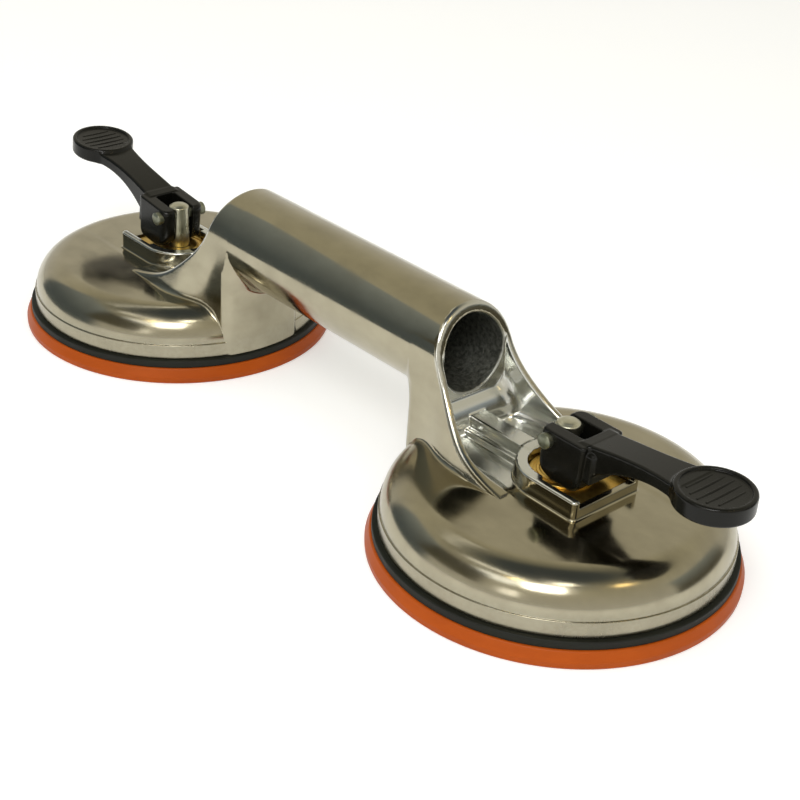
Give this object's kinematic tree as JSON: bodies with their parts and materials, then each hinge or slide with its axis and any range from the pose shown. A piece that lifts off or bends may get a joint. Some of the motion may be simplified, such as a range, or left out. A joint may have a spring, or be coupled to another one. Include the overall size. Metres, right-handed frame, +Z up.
{
  "type": "suction lifter",
  "caption": "Hand lifter for floor tiles: a die-cast tube handle bridging vacuum cups with rubber pads, each worked by a black cam lever.",
  "frame": {"origin": "on the surface the pads stand on, midway between the cups", "axes": "+X along the handle towards the right-hand cup, +Z up, +Y across the handle"},
  "size_m": [0.3414, 0.12, 0.0686],
  "materials": {
    "polished_casting": "die cast, polished to a mirror outside, rough as cast in the bore",
    "orange_rubber": "moulded orange rubber, satin",
    "black_ring": "black moulded ring",
    "black_lever": "satin black coating with fine grain",
    "zinc_steel": "dull zinc plating",
    "pin_steel": "ground steel pin",
    "yellow_zinc": "yellow passivated zinc plating",
    "brass_bush": "turned brass",
    "spring_steel": "drawn spring wire"
  },
  "bodies": {
    "casting": {"handle_casting": "polished_casting", "suction_pad_right": "orange_rubber", "rim_ring_right": "black_ring", "return_spring_right": "spring_steel", "spring_seat_right": "zinc_steel", "guide_bush_right": "brass_bush", "wear_plate_right": "yellow_zinc", "cam_washer_right": "yellow_zinc", "suction_pad_left": "orange_rubber", "rim_ring_left": "black_ring", "return_spring_left": "spring_steel", "spring_seat_left": "zinc_steel", "guide_bush_left": "brass_bush", "wear_plate_left": "yellow_zinc", "cam_washer_left": "yellow_zinc"},
    "stud_right": {"anchor_plate_right": "zinc_steel", "stud_right": "zinc_steel", "lock_nut_right": "zinc_steel"},
    "stud_left": {"anchor_plate_left": "zinc_steel", "stud_left": "zinc_steel", "lock_nut_left": "zinc_steel"},
    "lever_right": {"lever_right": "black_lever", "hinge_pin_right": "pin_steel"},
    "lever_left": {"lever_left": "black_lever", "hinge_pin_left": "pin_steel"}
  },
  "joints": [
    {"name": "stud_slide_right", "type": "slide", "parent": "casting", "child": "stud_right", "axis": [0, 0, -1], "range_m": [0, 0.007], "deforming": ["return_spring_right", "suction_pad_right"]},
    {"name": "lever_hinge_right", "type": "hinge", "parent": "stud_right", "child": "lever_right", "pos_m": [0.1037, 0, 0.0435], "axis": [0, -1, 0], "range_deg": [0, 80]},
    {"name": "stud_slide_left", "type": "slide", "parent": "casting", "child": "stud_left", "axis": [0, 0, -1], "range_m": [-0.00057, 0.00643], "deforming": ["return_spring_left", "suction_pad_left"]},
    {"name": "lever_hinge_left", "type": "hinge", "parent": "stud_left", "child": "lever_left", "pos_m": [-0.1037, 0, 0.04293], "axis": [0, 1, 0], "range_deg": [-6.5, 73.5]}
  ],
  "couplings": [
    {"joint": "stud_slide_right", "follows": "lever_hinge_right", "m_per_rad": 0.005013},
    {"joint": "stud_slide_left", "follows": "lever_hinge_left", "m_per_rad": 0.005013}
  ]
}
